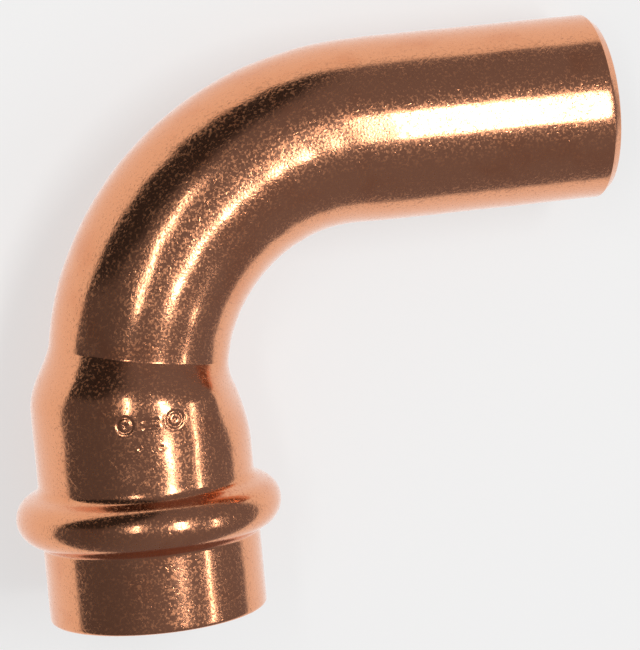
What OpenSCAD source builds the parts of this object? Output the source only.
// Copper press-fit elbow, 90 degrees, with a plain spigot on one end and a beaded socket on the other.
// It lies on its side on a level floor, touching it along the spigot and at the bead.
// The spigot points along +X and the socket's mouth opens towards -Y.

/* [Pipe] */
// Outside diameter of the spigot and of the pipe that the socket takes
pipe_d = 18; // [15:0.5:22]
// Wall thickness of the spigot and the bend
pipe_wall = 1.3; // [0.9:0.05:1.6]

/* [Bend] */
// Radius of the bend, measured to the centreline of the tube
bend_r = 23.2; // [19:0.1:40]

/* [Spigot] */
// Straight length of the spigot beyond the bend
spigot_len = 24.7; // [15:0.1:60]
// Size of the chamfer round the outside of the spigot's end
spigot_chamfer = 0.5; // [0.1:0.05:0.7]

/* [Socket] */
// Length of the socket, from its mouth to the start of the bend
socket_len = 21.2; // [16:0.1:40]
// Play between the socket's bore and the pipe, on the diameter
socket_play = 0.25; // [0.1:0.05:0.5]
// Wall thickness of the socket between the bead and the shoulder
socket_wall = 1.35; // [1:0.05:1.7]
// Wall thickness of the guide between the mouth and the bead
guide_wall = 1.43; // [1:0.01:1.7]
// Rounding of the mouth's rim
mouth_round = 0.3; // [0.1:0.05:0.4]
// Length over which the shoulder narrows from the socket to the bend
shoulder_len = 4.7; // [3.5:0.1:8]
// How far the shoulder's thin end lies below the surface of the bend, so that they join in a crease
shoulder_sink = 0.6; // [0.5:0.05:0.8]

/* [Bead] */
// Distance from the mouth to the middle of the bead
bead_pos = 10.15; // [6:0.05:12]
// Height of the bead above the socket, which is also the radius of its round section
bead_h = 2.4; // [2.2:0.05:3.2]
// Wall thickness of the bead, drawn a little thinner than the socket
bead_wall = 1; // [0.8:0.05:1.1]
// Radius of the hollow at each foot of the bead
bead_foot_r = 1; // [0.5:0.05:1.5]

/* [Seal ring] */
// Clearance all round between the seal ring and the inside of the bead
ring_gap = 0.08; // [0.05:0.01:0.15]

/* [Hidden] */
$fn = 96;
// Overlap that makes cuts run past the faces they open
past = 2;
arc_steps = 12;
shoulder_steps = 10;
copper = "#c87a58";
seal_black = "#1c1c1e";

pipe_r = pipe_d / 2;
pipe_bore_r = pipe_r - pipe_wall;
socket_bore_r = pipe_r + socket_play / 2;
socket_r = socket_bore_r + socket_wall;
guide_r = socket_bore_r + guide_wall;
bead_r = socket_r + bead_h;
neck_r = pipe_r - shoulder_sink;
groove_r = bead_h - bead_wall;
groove_flare_r = socket_wall;
ring_r = groove_r - ring_gap;
bore_neck_r = neck_r - socket_wall;

// The bead and the spigot both touch the floor, which turns the elbow about the spigot's axis
bead_to_spigot = bend_r + socket_len - bead_pos;
bead_swing = sqrt(bead_to_spigot * bead_to_spigot + socket_r * socket_r);
rest_tilt = atan2(socket_r, bead_to_spigot) - asin((pipe_r - bead_h) / bead_swing);

// Middle of the resting elbow's box, measured from the spigot's axis and the socket's axis
mouth_to_spigot = bend_r + socket_len;
low_y = -mouth_to_spigot * cos(rest_tilt) - (guide_r - mouth_round) * sin(rest_tilt);
middle_x = (bend_r + spigot_len - bead_r) / 2;
middle_y = (pipe_r + low_y) / 2;

// Points of an arc about c with radius r, from angle a to angle b
function arc(c, r, a, b) =
    [for (i = [0:arc_steps]) c + r * [cos(a + (b - a) * i / arc_steps), sin(a + (b - a) * i / arc_steps)]];

// Eased step from 0 to 1, level at both ends
function ease(u) = u * u * (3 - 2 * u);

// Points of the shoulder, where the radius eases from r_low at the socket to r_high at the bend
function shoulder(r_low, r_high) =
    [for (i = [0:shoulder_steps])
        [r_low + (r_high - r_low) * ease(i / shoulder_steps), socket_len + shoulder_len * i / shoulder_steps]];

// Angle at which a bead's round side runs into the hollow at its foot
function foot_angle(round_r, foot_r) = asin(foot_r / (round_r + foot_r));

// Points of a bead from its lower foot to its upper foot, with hollows that run into the walls beside it
function bead(round_r, foot_r) =
    let (a = foot_angle(round_r, foot_r), h = (round_r + foot_r) * cos(a))
    concat(
        arc([socket_r + foot_r, bead_pos - h], foot_r, 180, 90 + a),
        arc([socket_r, bead_pos], round_r, a - 90, 90 - a),
        arc([socket_r + foot_r, bead_pos + h], foot_r, 270 - a, 180));

// Points of the groove inside the bead, whose edges are rounded towards the bore
function groove() =
    let (h = groove_r + groove_flare_r)
    concat(
        arc([socket_r, bead_pos - h], groove_flare_r, 180, 90),
        arc([socket_r, bead_pos], groove_r, -90, 90),
        arc([socket_r, bead_pos + h], groove_flare_r, 270, 180));

// Outline of the socket, radius against height above the mouth
module socket_outline() {
    polygon(concat(
        [[0, 0]],
        arc([guide_r - mouth_round, mouth_round], mouth_round, -90, 0),
        [[guide_r, bead_pos - bead_h - bead_foot_r]],
        bead(bead_h, bead_foot_r),
        shoulder(socket_r, neck_r),
        [[0, socket_len + shoulder_len]]));
}

// Outline of the hollow in the socket: the bore, the groove in the bead and the inside of the shoulder
module socket_hollow() {
    polygon(concat(
        [[0, -past], [socket_bore_r + mouth_round, -past]],
        arc([socket_bore_r + mouth_round, mouth_round], mouth_round, 270, 180),
        groove(),
        shoulder(socket_bore_r, bore_neck_r),
        [[0, socket_len + shoulder_len]]));
}

// Turns a shape drawn up the Z axis so that it runs up the Y axis, with its foot at the socket's mouth
module on_socket_axis() {
    translate([0, -socket_len, 0]) rotate([-90, 0, 0]) children();
}

// Quarter ring about the bend's centre, from the socket's axis round to the spigot's axis
module quarter_bend(r) {
    translate([bend_r, 0, 0]) rotate([0, 0, 90]) rotate_extrude(angle = 90) translate([bend_r, 0]) circle(r);
}

// Moves a shape drawn along the Z axis onto the spigot's axis, with its foot at the end of the bend
module on_spigot_axis() {
    translate([bend_r, bend_r, 0]) rotate([0, 90, 0]) children();
}

// Spigot with its chamfered end
module spigot_solid() {
    on_spigot_axis() rotate_extrude() polygon([
        [0, 0],
        [pipe_r, 0],
        [pipe_r, spigot_len - spigot_chamfer],
        [pipe_r - spigot_chamfer, spigot_len],
        [0, spigot_len]]);
}

// Lays the elbow on the floor, with the middle of its box over the origin
module at_rest() {
    translate([-middle_x, -middle_y, pipe_r]) rotate([-rest_tilt, 0, 0]) translate([0, -bend_r, 0]) children();
}

module elbow_body() {
    color(copper) at_rest() difference() {
        union() {
            quarter_bend(pipe_r);
            spigot_solid();
            on_socket_axis() rotate_extrude() socket_outline();
        }
        quarter_bend(pipe_bore_r);
        on_spigot_axis() cylinder(r = pipe_bore_r, h = spigot_len + past);
        on_socket_axis() rotate_extrude() socket_hollow();
    }
}

// Round rubber ring that lies in the groove of the bead
module seal_ring() {
    color(seal_black) at_rest() on_socket_axis() translate([0, 0, bead_pos])
        rotate_extrude() translate([socket_r, 0]) circle(ring_r);
}

elbow_body();
seal_ring();
